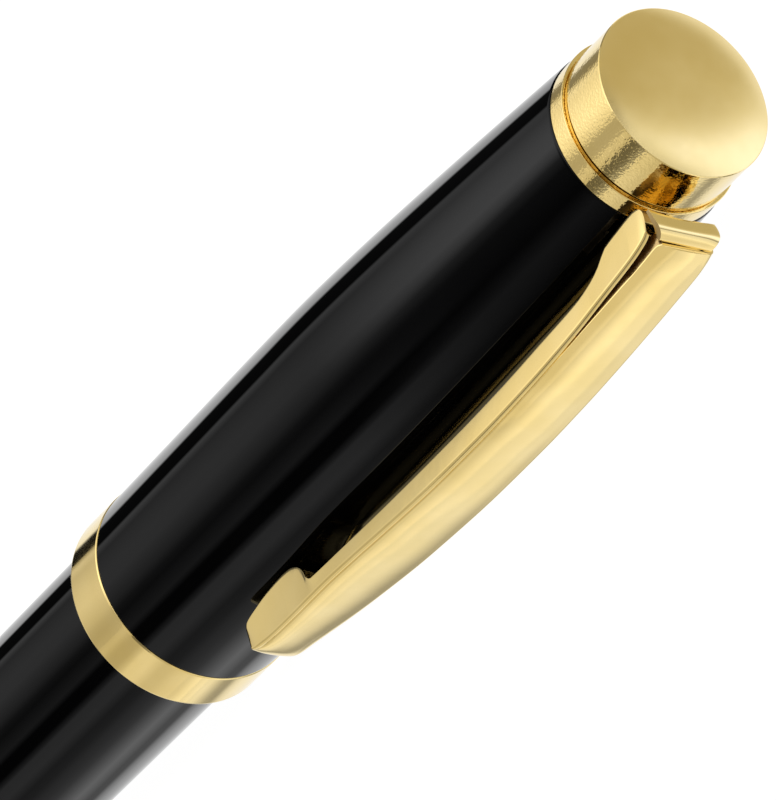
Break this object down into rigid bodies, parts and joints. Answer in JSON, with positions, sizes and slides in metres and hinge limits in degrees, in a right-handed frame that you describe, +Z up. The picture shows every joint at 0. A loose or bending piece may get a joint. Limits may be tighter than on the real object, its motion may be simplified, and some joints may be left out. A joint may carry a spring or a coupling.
{
  "type": "capped rollerball pen",
  "caption": "Capped rollerball pen with black lacquered tubes, gold-plated finial, band and sprung pocket clip, and a screw barrel round a sprung refill.",
  "frame": {"origin": "on the table, under the middle of the pen's box", "axes": "+X along the pen towards the finial, +Z up, the clip on the -Y side leaning down to the table"},
  "size_m": [0.138, 0.0164, 0.013],
  "materials": {
    "gold_plate": "polished pale gold plating",
    "black_lacquer": "high-gloss black lacquer",
    "plain_brass": "turned, unplated",
    "steel": "fine brushed",
    "liner_plastic": "moulded, satin",
    "refill_plastic": "moulded, satin",
    "ink_fibre": "ink-soaked fibre",
    "ball_carbide": "ground and polished carbide"
  },
  "bodies": {
    "section": {"nose_cone": "gold_plate", "grip_sleeve": "black_lacquer", "section_core": "plain_brass", "section_collar": "gold_plate"},
    "cap": {"finial": "gold_plate", "finial_stud": "steel", "finial_ring": "gold_plate", "clip_spacer": "plain_brass", "cap_bush": "plain_brass", "cap_tube": "black_lacquer", "cap_band": "gold_plate", "inner_cap": "liner_plastic"},
    "clip": {"clip": "gold_plate"},
    "refill": {"refill_tip": "steel", "writing_ball": "ball_carbide", "refill_nose": "refill_plastic", "refill_tube": "steel", "refill_plug": "refill_plastic", "ink_reservoir": "ink_fibre", "ink_feed": "ink_fibre"},
    "tail_spring": {"refill_spring": "steel", "spring_cup": "refill_plastic"},
    "barrel": {"barrel_tube": "black_lacquer", "barrel_insert": "plain_brass", "tail_ring": "gold_plate", "tail_cap": "gold_plate"}
  },
  "joints": [
    {"name": "cap_slide", "type": "slide", "parent": "section", "child": "cap", "axis": [1, 0, 0], "range_m": [0, 0.05]},
    {"name": "clip_flex", "type": "hinge", "parent": "cap", "child": "clip", "pos_m": [0.06305, -0.00291, 0.00406], "axis": [0, -0.4686, 0.8834], "range_deg": [0, 4], "stiffness_Nm_per_rad": 2, "springref_deg": -0.57},
    {"name": "refill_slide", "type": "slide", "parent": "section", "child": "refill", "axis": [-1, 0, 0], "range_m": [0, 0.001], "stiffness_N_per_m": 600, "springref_m": -0.002, "deforming": ["refill_spring"]},
    {"name": "barrel_advance", "type": "slide", "parent": "section", "child": "tail_spring", "axis": [-1, 0, 0], "range_m": [0, 0.005]},
    {"name": "barrel_turn", "type": "hinge", "parent": "tail_spring", "child": "barrel", "pos_m": [0, 0.00168, 0.0065], "axis": [-1, 0, 0], "range_deg": [0, 1810]}
  ],
  "couplings": [
    {"joint": "barrel_turn", "follows": "barrel_advance", "rad_per_m": 6283.2}
  ]
}
